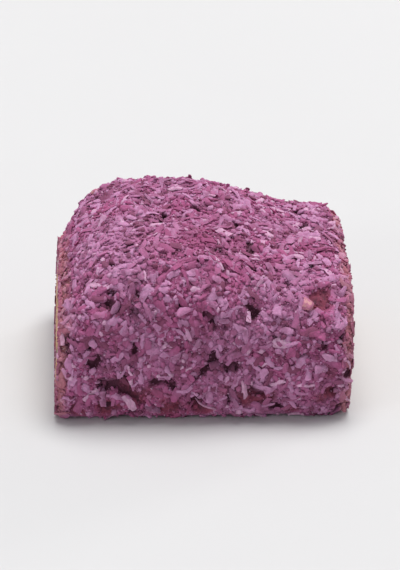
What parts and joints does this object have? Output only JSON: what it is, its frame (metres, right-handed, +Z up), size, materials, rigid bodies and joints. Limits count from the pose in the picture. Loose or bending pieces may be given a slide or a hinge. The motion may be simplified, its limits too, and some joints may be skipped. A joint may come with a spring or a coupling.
{
  "type": "coated nut turkish delight piece",
  "caption": "Soft pillow-shaped piece of nut-filled turkish delight with a coarse mauve crumb coat and flat knife-cut ends that show amber jelly and sliced kernels.",
  "frame": {"origin": "centre of the base, on the surface that the piece rests on", "axes": "+X along the bar, from one cut end to the other; +Y towards the back; +Z up"},
  "size_m": [0.0356, 0.0336, 0.021],
  "materials": {
    "coat": "matte, coarse mauve fruit and sugar crumb pressed into sticky jelly",
    "jelly": "moist, glossy, cloudy amber-brown starch jelly",
    "kernel": "satin, tan to cream sliced nut with a thin, broken brown skin"
  },
  "bodies": {
    "root": {"jelly_body": "coat", "kernel_right_1": "kernel", "kernel_right_2": "kernel", "kernel_right_3": "kernel", "kernel_right_4": "kernel", "kernel_right_5": "kernel", "kernel_right_6": "kernel", "kernel_left_1": "kernel", "kernel_left_2": "kernel", "kernel_left_3": "kernel", "kernel_left_4": "kernel", "kernel_left_5": "kernel"}
  },
  "joints": []
}
